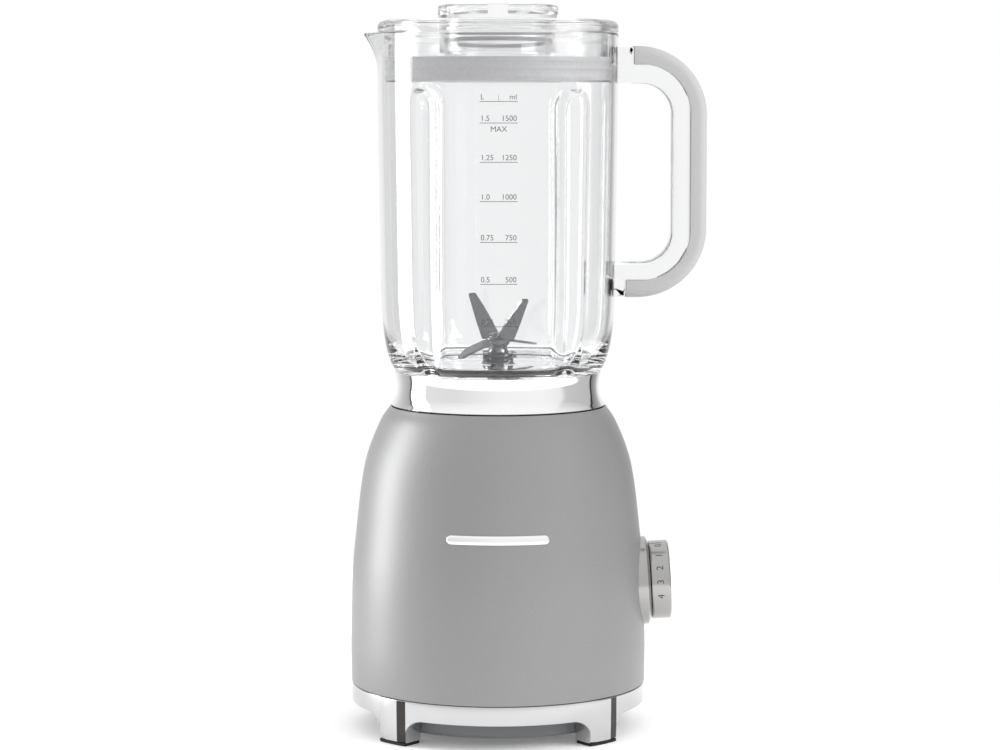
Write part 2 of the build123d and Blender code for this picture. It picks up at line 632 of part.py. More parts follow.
def blade(z, wings):
    hub = disc(7.0, 0, BLADE_THICKNESS)
    return Pos(0, 0, z) * (joined([hub, *wings]) - disc(3.02, -5, 5))


def lower_blade():
    return blade(BLADE_LOW_Z, [wing(27.5, 11.0, 3.0, -18, 228, 2.4), wing(27.5, 11.0, 3.0, -12, 48, 2.4)])


def upper_blade():
    return blade(BLADE_LOW_Z + BLADE_THICKNESS,
                 [wing(35.0, 12.4, 3.8, 44, 300, -1.4), wing(35.0, 12.4, 3.8, 43, 120, -1.4)])


def blade_nut():
    low = BLADE_LOW_Z + 2 * BLADE_THICKNESS
    nut = Pos(0, 0, low + 0.6) * extrude(RegularPolygon(4.6, 6), 2.2)
    return (nut + disc(5.4, low, low + 0.7)) - disc(3.02, low - 1, low + 6)


# ---- lid and filler cap ----
PLUG_RADIUS = 60.2
PLUG_LOW_Z = 356.4
FLANGE_Z = JUG_RIM_Z + 0.4
FILLER_RADIUS = 29.6
CAP_RADIUS = 33.0
CAP_LOW_Z = LID_TOP_Z + 0.5


def lid():
    """Clear lid: a flange over the jug's rim, a plug ring inside it and a throat for the filler cap."""
    body = turned((FILLER_RADIUS, 374.0), (32.0, 374.0), (32.0, 387.4), (57.6, 387.4), (57.6, PLUG_LOW_Z),
                  (61.5, PLUG_LOW_Z), (61.5, PLUG_LOW_Z + 0.9), (PLUG_RADIUS, PLUG_LOW_Z + 0.9),
                  (PLUG_RADIUS, FLANGE_Z), (JUG_RADIUS, FLANGE_Z), (JUG_RADIUS, 386.2),
                  [(65.2, 388.6), (62.4, LID_TOP_Z - 0.3)], (60.0, LID_TOP_Z), (FILLER_RADIUS, LID_TOP_Z))
    notch = block((56.0, 61.6), (-10, 10), (388.2, 392.0))
    return less(body, ring_of(2, notch))


def lid_seal():
    """Soft ring with two lips that presses on the jug's wall."""
    low, high = PLUG_LOW_Z + 0.9, 370.0
    return turned((PLUG_RADIUS, low), (61.9, low), (62.15, low + 2), (61.7, low + 4), (62.1, (low + high) / 2),
                  (61.7, high - 4), (62.15, high - 2), (61.9, high), (PLUG_RADIUS, high))


def filler_cap():
    body = turned((26.6, 372.5), (29.2, 372.5), (29.2, 380.0), (28.2, 380.0), (28.2, 382.6), (29.2, 382.6),
                  (29.2, CAP_LOW_Z), (CAP_RADIUS, CAP_LOW_Z), (CAP_RADIUS, CAP_TOP_Z - 2.2),
                  [(CAP_RADIUS - 0.6, CAP_TOP_Z - 0.6), (CAP_RADIUS - 2.2, CAP_TOP_Z)], (0, CAP_TOP_Z),
                  (0, 390.4), (26.6, 390.4))
    pockets = turned((0, 393.2), (27.0, 393.2), (28.6, 395.0), (29.2, CAP_TOP_Z + 1), (0, CAP_TOP_Z + 1))
    bar = block((-5.2, 5.2), (-40, 40), (392, 400))
    return body - (pockets - bar)


def cap_seal():
    return tube(29.5, 28.3, 380.15, 382.45)


# ---- every piece, by name ----
PIECES = {
    "body_shell": body_shell, "badge_bar": badge_bar, "foot_ring": foot_ring, "foot_pads": foot_pads,
    "base_screws": base_screws, "bottom_plate": bottom_plate, "cord_gland": cord_gland,
    "lower_bearing": lambda: bearing(LOWER_BEARING_Z), "upper_bearing": lambda: bearing(UPPER_BEARING_Z),
    "lower_bracket": lower_bracket, "upper_bracket": upper_bracket, "stator_core": stator_core,
    "field_coils": field_coils, "motor_bolts": motor_bolts, "motor_screws": motor_screws,
    "motor_dampers": motor_dampers, "brush_holders": brush_holders, "carbon_brushes": carbon_brushes,
    "brush_springs": brush_springs, "control_board": control_board, "switch_body": switch_body,
    "jug_seat": jug_seat, "interlock_switch": interlock_switch, "knob_flange": knob_flange,
    "motor_shaft": motor_shaft, "rotor_core": rotor_core, "armature_winding": armature_winding,
    "commutator": commutator, "cooling_fan": cooling_fan, "drive_coupling": drive_coupling,
    "knob": knob, "knob_spindle": knob_spindle, "interlock_plunger": interlock_plunger,
    "jug_body": jug_body, "handle_grip": handle_grip, "collar": collar, "locking_ring": locking_ring,
    "jug_gasket": jug_gasket, "blade_base": blade_base, "bearing_bushes": bearing_bushes,
    "shaft_seal": shaft_seal, "blade_shaft": blade_shaft, "blade_spacer": blade_spacer,
    "lower_blade": lower_blade, "upper_blade": upper_blade, "blade_nut": blade_nut,
    "driven_coupling": driven_coupling, "lid": lid, "lid_seal": lid_seal, "filler_cap": filler_cap,
    "cap_seal": cap_seal,
}

for piece_name, make in PIECES.items():
    save(piece_name, make())
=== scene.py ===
import json
import math

import bmesh
import bpy
import numpy as np
from mathutils import Matrix, Vector


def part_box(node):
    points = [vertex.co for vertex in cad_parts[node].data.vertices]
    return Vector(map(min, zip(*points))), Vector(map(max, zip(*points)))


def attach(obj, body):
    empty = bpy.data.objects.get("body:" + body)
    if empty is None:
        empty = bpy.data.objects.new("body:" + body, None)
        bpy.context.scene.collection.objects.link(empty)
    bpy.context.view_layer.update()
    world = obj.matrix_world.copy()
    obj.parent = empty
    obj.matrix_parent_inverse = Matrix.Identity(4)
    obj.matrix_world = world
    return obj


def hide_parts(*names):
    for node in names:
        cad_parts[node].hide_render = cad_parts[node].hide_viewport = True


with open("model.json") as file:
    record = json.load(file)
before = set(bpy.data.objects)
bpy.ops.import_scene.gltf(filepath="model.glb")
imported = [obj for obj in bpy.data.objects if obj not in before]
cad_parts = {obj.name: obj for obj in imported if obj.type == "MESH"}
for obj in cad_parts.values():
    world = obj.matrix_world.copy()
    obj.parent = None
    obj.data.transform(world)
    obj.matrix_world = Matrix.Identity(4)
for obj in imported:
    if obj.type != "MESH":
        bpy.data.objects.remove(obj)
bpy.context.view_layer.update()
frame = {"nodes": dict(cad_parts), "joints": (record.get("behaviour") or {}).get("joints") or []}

# Countertop blender. Profiles are (radius, height) in millimetres from the motor axis, which is world Z.
mm = 0.001
nodes = frame["nodes"]
scene = bpy.context.scene
print("parts loaded:", len(nodes))


def low(node):
    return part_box(node)[0] / mm


def high(node):
    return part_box(node)[1] / mm


# Profiles and meshes
def filleted(corners, steps=6):
    # corners are (x, z) or (x, z, radius); the result is the open line with each corner rounded
    line = []
    for i, corner in enumerate(corners):
        here = Vector(corner[:2])
        radius = corner[2] if len(corner) > 2 else 0
        if not radius or i in (0, len(corners) - 1):
            line.append(tuple(here))
            continue
        toLast = (Vector(corners[i - 1][:2]) - here)
        toNext = (Vector(corners[i + 1][:2]) - here)
        half = toLast.angle(toNext) / 2
        shares = [0.49 if len(corners[k]) > 2 else 0.97 for k in (i - 1, i + 1)]
        reach = min(radius / math.tan(half), shares[0] * toLast.length, shares[1] * toNext.length)
        radius = reach * math.tan(half)
        toLast.normalize()
        toNext.normalize()
        centre = here + (toLast + toNext).normalized() * (radius / math.sin(half))
        start = here + toLast * reach - centre
        end = here + toNext * reach - centre
        turn = start.angle_signed(end)
        for k in range(steps + 1):
            spin = -turn * k / steps
            line.append((centre.x + start.x * math.cos(spin) - start.y * math.sin(spin),
                         centre.y + start.x * math.sin(spin) + start.y * math.cos(spin)))
    return line


def spline(points, steps=6):
    # smooth line through the points
    pts = [Vector(p) for p in points]
    pts = [2 * pts[0] - pts[1], *pts, 2 * pts[-1] - pts[-2]]
    line = []
    for a, b, c, d in zip(pts, pts[1:], pts[2:], pts[3:]):
        for k in range(steps):
            t = k / steps
            p = 0.5 * (2 * b + (c - a) * t + (2 * a - 5 * b + 4 * c - d) * t ** 2
                       + (3 * b - a - 3 * c + d) * t ** 3)
            line.append((p.x, p.y))
    line.append((pts[-2].x, pts[-2].y))
    return line


def loopFaces(columns, rows, closedColumns=True, closedRows=True):
    # quads over a grid of columns x rows of vertices
    faces = []
    for c in range(columns if closedColumns else columns - 1):
        for r in range(rows if closedRows else rows - 1):
            c2, r2 = (c + 1) % columns, (r + 1) % rows
            faces.append((c * rows + r, c2 * rows + r, c2 * rows + r2, c * rows + r2))
    return faces


def lathe(profile, segments=192, closed=True):
    # profile goes round a closed section, or from axis to axis when closed is False
    verts = []
    for s in range(segments):
        a = 2 * math.pi * s / segments
        verts += [(r * math.cos(a), r * math.sin(a), z) for r, z in profile]
    return verts, loopFaces(segments, len(profile), True, closed)


def makeMesh(name, verts, faces, material, sharp=35.0, place=None):
    mesh = bpy.data.meshes.new(name)
    mesh.from_pydata([Vector(v) * mm for v in verts], [], faces)
    obj = bpy.data.objects.new(name, mesh)
    scene.collection.objects.link(obj)
    finishMesh(obj, material, sharp, place)
    return obj


def finishMesh(obj, material, sharp=35.0, place=None):
    mesh = obj.data
    tidy = bmesh.new()
    tidy.from_mesh(mesh)
    bmesh.ops.remove_doubles(tidy, verts=tidy.verts, dist=1e-6)
    bmesh.ops.dissolve_degenerate(tidy, dist=1e-7, edges=tidy.edges)
    bmesh.ops.recalc_face_normals(tidy, faces=tidy.faces)
    if place:
        bmesh.ops.transform(tidy, matrix=place, verts=tidy.verts)
    tidy.to_mesh(mesh)
    tidy.free()
    mesh.shade_smooth()
    mesh.set_sharp_from_angle(angle=math.radians(sharp))
    if not mesh.materials:
        mesh.materials.append(material)


def put(obj, body, slotName, *stands):
    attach(obj, body)
    if stands:
        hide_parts(*stands)
    return obj


# Finishes
def addNode(tree, kind, **inputs):
    node = tree.nodes.new(kind)
    for key, value in inputs.items():
        if key in node.inputs:
            node.inputs[key].default_value = value
        else:
            setattr(node, key, value)
    return node


def plainFinish(name, look):
    mat = bpy.data.materials.new(name)
    mat.use_nodes = True
    shader = mat.node_tree.nodes["Principled BSDF"]
    for socket, value in look.items():
        if socket == "Base Color":
            value = (*value, 1)
        shader.inputs[socket].default_value = value
    return mat, mat.node_tree, shader


def objectSpace(tree, stretch=(1, 1, 1)):
    coord = addNode(tree, "ShaderNodeTexCoord")
    mapping = addNode(tree, "ShaderNodeMapping", Scale=stretch)
    tree.links.new(coord.outputs["Object"], mapping.inputs["Vector"])
    return mapping.outputs["Vector"]


def grain(tree, scale, stretch=(1, 1, 1), detail=2.0):
    noise = addNode(tree, "ShaderNodeTexNoise", Scale=scale, Detail=detail)
    tree.links.new(objectSpace(tree, stretch), noise.inputs["Vector"])
    return noise.outputs["Fac"]


def spread(tree, value, lowest, highest, fromLow=0.3, fromHigh=0.7):
    ramp = addNode(tree, "ShaderNodeMapRange")
    for socket, number in zip(("From Min", "From Max", "To Min", "To Max"),
                              (fromLow, fromHigh, lowest, highest)):
        ramp.inputs[socket].default_value = number
    tree.links.new(value, ramp.inputs["Value"])
    return ramp.outputs["Result"]


def tint(tree, shader, value, dark, light):
    ramp = addNode(tree, "ShaderNodeValToRGB")
    ramp.color_ramp.elements[0].position = 0.3
    ramp.color_ramp.elements[1].position = 0.7
    ramp.color_ramp.elements[0].color = (*dark, 1)
    ramp.color_ramp.elements[1].color = (*light, 1)
    tree.links.new(value, ramp.inputs["Fac"])
    tree.links.new(ramp.outputs["Color"], shader.inputs["Base Color"])


def bumps(tree, shader, value, height, strength=1.0):
    bump = addNode(tree, "ShaderNodeBump", Strength=strength, Distance=height)
    tree.links.new(value, bump.inputs["Height"])
    tree.links.new(bump.outputs["Normal"], shader.inputs["Normal"])


def shades(colour, dark=0.94, light=1.05):
    return [c * dark for c in colour], [min(c * light, 1) for c in colour]


def roughened(name, look, scale, rough, height=0.0, stretch=(1, 1, 1), spreadTone=(0.95, 1.04), detail=2.0):
    # principled finish whose colour, roughness and surface vary with one grain
    mat, tree, shader = plainFinish(name, look)
    value = grain(tree, scale, stretch, detail)
    tree.links.new(spread(tree, value, *rough), shader.inputs["Roughness"])
    tint(tree, shader, value, *shades(look["Base Color"], *spreadTone))
    if height:
        bumps(tree, shader, value, height)
    return mat


paint = {"flake": 2600, "orangePeel": 220, "colour": (0.285, 0.285, 0.287)}


def housingPaint():
    mat, tree, shader = plainFinish("satinSilverPaint", {
        "Metallic": 0.5, "Coat Weight": 0.25, "Coat Roughness": 0.3, "Specular IOR Level": 0.5})
    flake = grain(tree, paint["flake"], detail=1.0)
    tree.links.new(spread(tree, flake, 0.40, 0.54), shader.inputs["Roughness"])
    tint(tree, shader, flake, *shades(paint["colour"], 0.92, 1.08))
    bumps(tree, shader, grain(tree, paint["orangePeel"]), 0.00001, 0.5)
    return mat


def turnedMetal():
    # lathe lines run round the knob's own axis, so the grain is drawn out along the radius from it
    return roughened("turnedSatinMetal", {"Base Color": (0.43, 0.426, 0.42), "Metallic": 1.0, "Anisotropic": 0.5},
                     900, (0.14, 0.22), 0.000002, (6, 0.6, 0.6))


def clearPlastic(name, colour, ior, haze=0.02):
    mat, tree, shader = plainFinish(name, {"Base Color": colour, "Transmission Weight": 1.0, "IOR": ior})
    cloud = grain(tree, 60, detail=1.0)
    tree.links.new(spread(tree, cloud, 0.0, haze), shader.inputs["Roughness"])
    return mat


finishes = {
    "housing_paint": housingPaint(),
    "chrome_trim": roughened("chromePlate", {"Base Color": (0.93, 0.93, 0.935), "Metallic": 1.0},
                             40, (0.04, 0.07), 0, (1, 1, 1), (0.99, 1.0)),
    "satin_metal": turnedMetal(),
    "clear_plastic": clearPlastic("clearJugPlastic", (0.955, 0.958, 0.962), 1.5),
    "grip_grey": roughened("softGrip", {"Base Color": (0.44, 0.44, 0.44), "Sheen Weight": 0.15,
                                        "Sheen Roughness": 0.5, "Specular IOR Level": 0.35},
                           1800, (0.48, 0.62), 0.000012),
    "seal_grey": roughened("siliconeSeal", {"Base Color": (0.73, 0.73, 0.74), "Subsurface Weight": 0.1,
                                            "Subsurface Scale": 0.002, "Specular IOR Level": 0.4},
                           500, (0.40, 0.52), 0.000006),
    "black_plastic": roughened("blackMoulding", {"Base Color": (0.018, 0.018, 0.02)}, 1400, (0.42, 0.55), 0.00001),
    "grey_plastic": roughened("greyMoulding", {"Base Color": (0.17, 0.175, 0.18)}, 1400, (0.42, 0.55), 0.00001),
    "black_rubber": roughened("blackRubber", {"Base Color": (0.014, 0.014, 0.014), "Specular IOR Level": 0.3},
                              900, (0.65, 0.8), 0.00002),
    "blade_steel": roughened("groundSteel", {"Base Color": (0.2, 0.202, 0.21), "Metallic": 1.0, "Anisotropic": 0.3},
                             700, (0.16, 0.28), 0.000004, (1, 8, 1), (0.86, 1.06)),
    "screw_steel": roughened("screwSteel", {"Base Color": (0.5, 0.5, 0.5), "Metallic": 1.0}, 600, (0.25, 0.4)),
    "cast_metal": roughened("castMetal", {"Base Color": (0.4, 0.4, 0.41), "Metallic": 0.9}, 500, (0.45, 0.65), 0.00003),
    "lamination_steel": roughened("laminations", {"Base Color": (0.22, 0.22, 0.24), "Metallic": 0.9},
                                  300, (0.35, 0.55), 0.00005, (0.2, 0.2, 14)),
    "copper_wire": roughened("enamelledCopper", {"Base Color": (0.55, 0.22, 0.08), "Metallic": 0.9,
                                                 "Coat Weight": 0.6}, 300, (0.25, 0.4), 0.0002, (1, 1, 12),
                             (0.7, 1.15)),
    "carbon": roughened("carbonBlock", {"Base Color": (0.03, 0.03, 0.032)}, 800, (0.55, 0.7), 0.00002),
    "circuit_board": roughened("circuitBoard", {"Base Color": (0.03, 0.14, 0.06), "Coat Weight": 0.4},
                               250, (0.35, 0.5), 0, (1, 1, 1), (0.6, 1.2)),
    "bearing_bronze": roughened("sinteredBronze", {"Base Color": (0.5, 0.33, 0.15), "Metallic": 0.9},
                                900, (0.35, 0.5), 0.00002),
}
lidPlastic = clearPlastic("clearLidPlastic", (0.985, 0.986, 0.988), 1.36, 0.12)
ringChrome = roughened("brushedChrome", {"Base Color": (0.59, 0.59, 0.595), "Metallic": 1.0}, 60, (0.13, 0.2), 0,
                       (1, 1, 1), (0.98, 1.02))


def jugFloorSteel():
    # the pressed floor is mirror bright and the turned hub in its middle is darker
    mat, tree, shader = plainFinish("jugFloorSteel", {"Metallic": 1.0})
    away = addNode(tree, "ShaderNodeVectorMath", operation="LENGTH")
    tree.links.new(objectSpace(tree, (1, 1, 0)), away.inputs[0])
    hubEdge = 9.2 * mm
    tint(tree, shader, spread(tree, away.outputs["Value"], 0, 1, hubEdge, hubEdge + mm), (0.14, 0.142, 0.148),
         (0.93, 0.93, 0.94))
    tree.links.new(spread(tree, grain(tree, 60), 0.05, 0.12), shader.inputs["Roughness"])
    return mat


jugFloor = jugFloorSteel()
print("finishes made:", len(finishes) + 3)

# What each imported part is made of; the parts that show most get a finer mesh further down
madeOf = {
    "housing_paint": "body_shell",
    "chrome_trim": "badge_bar foot_ring collar",
    "satin_metal": "knob knob_flange",
    "clear_plastic": "jug_body lid filler_cap",
    "grip_grey": "handle_grip",
    "seal_grey": "lid_seal cap_seal jug_gasket shaft_seal",
    "black_plastic": "jug_seat locking_ring switch_body brush_holders interlock_switch interlock_plunger cooling_fan",
    "grey_plastic": "bottom_plate",
    "black_rubber": "foot_pads cord_gland motor_dampers",
    "blade_steel": "blade_base lower_blade upper_blade blade_nut blade_spacer blade_shaft",
    "screw_steel": "base_screws motor_bolts motor_screws motor_shaft knob_spindle lower_bearing upper_bearing "
                   "brush_springs",
    "cast_metal": "lower_bracket upper_bracket drive_coupling driven_coupling",
    "lamination_steel": "stator_core rotor_core",
    "copper_wire": "field_coils armature_winding commutator",
    "carbon": "carbon_brushes",
    "circuit_board": "control_board",
    "bearing_bronze": "bearing_bushes",
}
for slotName, names in madeOf.items():
    for node in names.split():
        nodes[node].data.materials.clear()
        nodes[node].data.materials.append(finishes[slotName])
for node, finish in (("blade_base", jugFloor), ("filler_cap", lidPlastic), ("cap_seal", finishes["seal_grey"])):
    nodes[node].data.materials[0] = finish
print("packed parts painted")

# Motor housing
housing = {"wall": 2.4, "rim": 0.9, "edge": 0.5, "segments": 320}


def makeHousing():
    seam, top = low("body_shell").z, high("body_shell").z
    outer = spline([(81.8, 45.0), (80.8, 86.0), (78.5, 111.0), (75.5, 136.6), (71.9, 153.3), (65.1, 170.1),
                    (59.6, top)], 10)
    inner = [(r - housing["wall"], z - 0.9) for r, z in reversed(outer)]
    skin = filleted([(80.6, seam), (81.5, seam, housing["edge"]), (81.8, 45.0)], 5)[:-1] + outer[:-1]
    rim = filleted([(59.9, top - 0.4), (59.55, top, 0.25), (58.7, top, 0.2), (58.7, top - 4.0), (55.5, top - 4.0),
                    (55.5, top - 5.2)], 4)
    verts, faces = lathe(skin + rim + inner + [(79.1, seam)], housing["segments"])
    put(makeMesh("housingShell", verts, faces, finishes["housing_paint"]), "base", "housing_paint", "body_shell")


badge = {"length": 56.0, "height": 5.2, "proud": 1.25, "z": 114.0, "wall": 78.2}


def makeBadge():
    # plain domed bar with rounded ends, wrapped on to the front of the housing
    across, up = 72, 14
    verts = []
    for i in range(across + 1):
        u = math.cos(math.pi * i / across) * -badge["length"] / 2
        end = max(abs(u) - (badge["length"] - badge["height"]) / 2, 0) / (badge["height"] / 2)
        half = badge["height"] / 2 * math.sqrt(max(1 - end ** 2, 0.0001))
        for j in range(up + 1):
            v = -math.cos(math.pi * j / up)
            dome = (1 - v ** 2) ** 0.42 * (1 - end ** 4) ** 0.4 if end < 1 else 0.0
            angle = math.radians(270) + u / badge["wall"]
            z = badge["z"] + v * half
            reach = badge["wall"] - 0.115 * (z - badge["z"]) - 0.1 + (badge["proud"] + 0.1) * dome
            verts.append((reach * math.cos(angle), reach * math.sin(angle), z))
        for j in range(up - 1, 0, -1):
            v = -math.cos(math.pi * j / up)
            angle = math.radians(270) + u / badge["wall"]
            z = badge["z"] + v * half
            reach = badge["wall"] - 0.115 * (z - badge["z"]) - 0.6
            verts.append((reach * math.cos(angle), reach * math.sin(angle), z))
    rows = 2 * up
    faces = loopFaces(across + 1, rows, False, True)
    faces += [tuple(range(rows)), tuple(across * rows + k for k in range(rows))]
    put(makeMesh("badgeBar", verts, faces, finishes["chrome_trim"], 50), "base", "chrome_trim", "badge_bar")


makeHousing()
makeBadge()
print("housing and badge made")

# Foot ring: one section swept round the axis, thin over the four arches and deep in the four legs
foot = {"archTop": 14.6, "archHalf": 50.5, "archRound": 10.0, "legEdge": 37.8, "legFlat": 41.8, "proud": 0.75,
        "ringRadius": 81.35, "ringInner": 77.4, "legInner": 68.5, "padTop": 1.8, "flankFrom": 3.4, "flankTo": 7.2}
# near-black chrome for one flank of each leg: a painted dark reflection, not a different metal
paintedReflectionChrome = roughened("paintedDarkReflection", {"Base Color": (0.06, 0.056, 0.053), "Metallic": 1.0}, 60, (0.12, 0.2), 0,
                       (1, 1, 1), (0.95, 1.05))


def footSection(fromArch):
    # fromArch is the angle from the middle of the nearest arch, 0 to 45
    f = foot
    top = high("foot_ring").z
    side = f["ringRadius"] * math.sin(math.radians(fromArch))
    leg = fromArch >= f["legEdge"]
    if leg:
        bottom, inner = f["padTop"], f["legInner"]
    else:
        into = max(side - (f["archHalf"] - f["archRound"]), 0)
        bottom = f["archTop"] - f["archRound"] + math.sqrt(max(f["archRound"] ** 2 - into ** 2, 0))
        inner = f["ringInner"]
    rise = min(max((fromArch - f["legEdge"]) / (f["legFlat"] - f["legEdge"]), 0), 1)
    face = f["ringRadius"] + f["proud"] * rise
    toe = face - (0.3 if leg else 0.0)
    edge = 0.9 if leg else 0.5
    return filleted([(inner, bottom), (toe, bottom, edge), ((face + toe) / 2, (bottom + 12) / 2 if leg else 18),
                     (face, 18.5 if leg else 19), (face, top, 0.5), (inner, top), (inner, bottom)], 4)[:-1]


def makeFootRing():
    f = foot
    angles = []
    for quarter in range(4):
        steps = list(np.linspace(0, foot["legEdge"] - 0.02, 110))
        steps += list(np.linspace(foot["legEdge"], foot["legFlat"], 6)) + list(np.linspace(foot["legFlat"] + 0.4, 45, 9))
        angles += [(90 * quarter + s, s) for s in steps]
        angles += [(90 * quarter + 90 - s, s) for s in reversed(steps[1:-1])]
    verts, rows = [], 0
    for turn, fromArch in angles:
        section = footSection(fromArch)
        rows = len(section)
        a = math.radians(turn)
        verts += [(r * math.cos(a), r * math.sin(a), z) for r, z in section]
    obj = makeMesh("footRing", verts, loopFaces(len(angles), rows), ringChrome, 30)
    # one flank of each leg gets near-black chrome: a painted dark reflection beside the brushed face
    obj.data.materials.append(paintedReflectionChrome)
    for face in obj.data.polygons:
        turn = math.degrees(math.atan2(face.center.y, face.center.x)) % 90 - 45
        outside = face.normal.x * face.center.x + face.normal.y * face.center.y > 0.5 * face.center.xy.length
        if f["flankFrom"] < turn < f["flankTo"] and outside and face.center.z < 0.0247:
            face.material_index = 1
    put(obj, "base", "chrome_trim", "foot_ring")


makeFootRing()
print("foot ring made")

# Speed knob, built round its own axis and then tilted with the wall
knobLook = {"radius": 21.8, "face": 14.8, "flange": 24.5, "flangeFace": 3.7, "digitSize": 5.4, "digitMiddle": 9.0}
knobJoint = next(j for j in frame["joints"] if j["name"] == "knob_turn")


def knobPlace():
    axis = -Vector(knobJoint["axis"]).normalized()
    turnTo = Vector((0, 0, 1)).rotation_difference(axis).to_matrix().to_4x4()
    return Matrix.Translation(Vector(knobJoint["pos_m"])) @ turnTo


def makeKnob():
    k = knobLook
    place = knobPlace()
    back = k["flangeFace"] + 0.4
    cap = filleted([(0, 11.6), (3.02, 11.6), (3.02, back), (k["radius"] - 0.2, back, 0.4), (k["radius"], back + 1, 0.3),
                    (k["radius"], k["face"], 1.9), (k["radius"] - 3.2, k["face"], 0.6)], 6)
    dish = spline([(k["radius"] - 3.2, k["face"]), (k["radius"] - 8, k["face"] - 0.55), (8, k["face"] - 0.95),
                   (0, k["face"] - 1.0)], 6)
    verts, faces = lathe(cap + dish[1:], 160, False)
    put(makeMesh("speedKnob", verts, faces, finishes["satin_metal"], 32, place), "knob", "satin_metal", "knob")
    ring = filleted([(9.5, -3.5), (k["flange"], -3.5), (k["flange"], k["flangeFace"] - 1.6, 0.9),
                     (k["flange"] - 2.8, k["flangeFace"], 1.2),
                     (9.5, k["flangeFace"]), (9.5, -3.5)], 6)[:-1]
    verts, faces = lathe(ring, 160)
    put(makeMesh("knobFlange", verts, faces, finishes["satin_metal"], 32, place), "base", "satin_metal", "knob_flange")


makeKnob()
print("knob made")

# Metal collar under the jug
def makeCollar():
    bottom, top = low("collar").z, high("collar").z
    skin = spline([(59.0, bottom + 0.5), (57.4, 182.0), (56.1, 185.3), (55.7, 188.8), (56.0, 192.6), (56.9, top - 0.4)], 8)
    section = [(56.4, bottom), (58.6, bottom)] + skin + [(56.6, top), (53.4, top), (53.4, 181.4)]
    verts, faces = lathe(section, 256)
    put(makeMesh("jugCollar", verts, faces, finishes["chrome_trim"], 40), "jug", "chrome_trim", "collar")


makeCollar()
print("collar made")

# Jug: outer and inner skins are radii over angle and height
jug = {"neck": 53.2, "neckInner": 47.4, "fluteRadius": 17.5, "fluteTop": 342.0, "wall": 3.1,
       "spoutStart": 360.0, "spoutGrow": 10.0, "soft": 1.6, "angles": 600, "flutes": (52, 128, 232, 308)}
# (height, distance from the axis) down the middle of the rods that press the flutes in
fluteAxis = np.array([(198.4, 75.2), (204.0, 75.4), (216.0, 77.4), (237.0, 78.7), (290.0, 79.2), (342.0, 79.4)])
jugOuter = np.array([(56.6, 198.0), (59.6, 203.5), (62.6, 216.0), (64.2, 237.0), (64.9, 278.0), (65.8, 345.0),
                     (66.0, 383.2)])
jugInner = np.array([(47.4, 200.4), (53.8, 204.2), (59.1, 217.0), (60.9, 238.0), (61.6, 278.0), (62.5, 345.0),
                     (62.7, 384.2)])


def profileRadius(points, z):
    line = np.array(spline([tuple(p) for p in points], 12))
    return np.interp(z, line[:, 1], line[:, 0])


def fluteRadius(angle, z, grow):
    # distance from the axis to the nearest flute rod along this angle, or a large number where it misses
    radius = jug["fluteRadius"] + grow
    beyond = np.maximum(z - jug["fluteTop"], 0)
    section = np.where(z < fluteAxis[0, 0], 0, np.sqrt(np.maximum(radius ** 2 - beyond ** 2, 0)))
    middle = np.interp(z, fluteAxis[:, 0], fluteAxis[:, 1])
    nearest = np.full(np.broadcast(angle, z).shape, 99.0)
    for centre in jug["flutes"]:
        off = np.radians((angle - centre + 180) % 360 - 180)
        side = middle * np.sin(off)
        depth = section ** 2 - side ** 2
        hit = (depth > 0) & (np.abs(off) < 0.5)
        reach = middle * np.cos(off) - np.sqrt(np.maximum(depth, 0))
        nearest = np.where(hit, np.minimum(nearest, reach), nearest)
    return nearest


def spoutFactor(angle, z, base, inset):
    # beak whose flat sides are tangent to the jug, growing towards the rim
    grow = np.clip((z - jug["spoutStart"]) / (383.2 - jug["spoutStart"]), 0, 1) ** 2 * jug["spoutGrow"]
    tip = base + grow * (1 if inset == 0 else 0.97) + 1e-4
    half = np.arccos(np.clip(base / tip, -1, 1))
    off = np.abs(np.radians((angle - 180 + 180) % 360 - 180))
    off = np.sqrt(off ** 2 + 0.045 ** 2)
    return np.where(off < half, base / np.cos(half - off), base)


def softMin(a, b, k):
    h = np.clip(0.5 + 0.5 * (b - a) / k, 0, 1)
    return b * (1 - h) + a * h - k * h * (1 - h)


def jugSkin(angle, z, inside):
    base = profileRadius(jugInner if inside else jugOuter, z)
    base = spoutFactor(angle, z, base, 1 if inside else 0)
    return softMin(base, fluteRadius(angle, z, jug["wall"] if inside else 0), jug["soft"])


def slab(outline, half, edge, steps=5):
    # solid whose outline lies in the XZ plane, with rounded edges on both sides
    pts = [Vector(p) for p in outline]
    n = len(pts)
    area = sum(a.x * b.y - b.x * a.y for a, b in zip(pts, pts[1:] + pts[:1]))
    side = 1 if area > 0 else -1
    inward = []
    for i in range(n):
        along = (pts[(i + 1) % n] - pts[i]).normalized() + (pts[i] - pts[i - 1]).normalized()
        along.normalize()
        inward.append(Vector((-along.y, along.x)) * side)
    rings = []
    for k in range(steps + 1):
        a = math.pi / 2 * k / steps
        rings.append((edge * (1 - math.sin(a)), -half + edge * (1 - math.cos(a))))
    rings += [(o, -y) for o, y in reversed(rings)]
    verts = []
    for offset, y in rings:
        verts += [(p.x + d.x * offset, y, p.y + d.y * offset) for p, d in zip(pts, inward)]
    faces = loopFaces(len(rings), n, False, True)
    faces += [tuple(range(n)), tuple((len(rings) - 1) * n + k for k in range(n))]
    return verts, faces


handle = {"reach": 105.2, "finger": 95.2, "low": 248.3, "high": 366.2, "fingerLow": 257.8, "fingerHigh": 355.8,
          "rootLow": 238.8, "rootHigh": 376.2, "rootLowX": 70.5, "rootHighX": 74.5, "half": 10.0, "edge": 2.0,
          "round": 27.0, "fingerRound": 17.0}


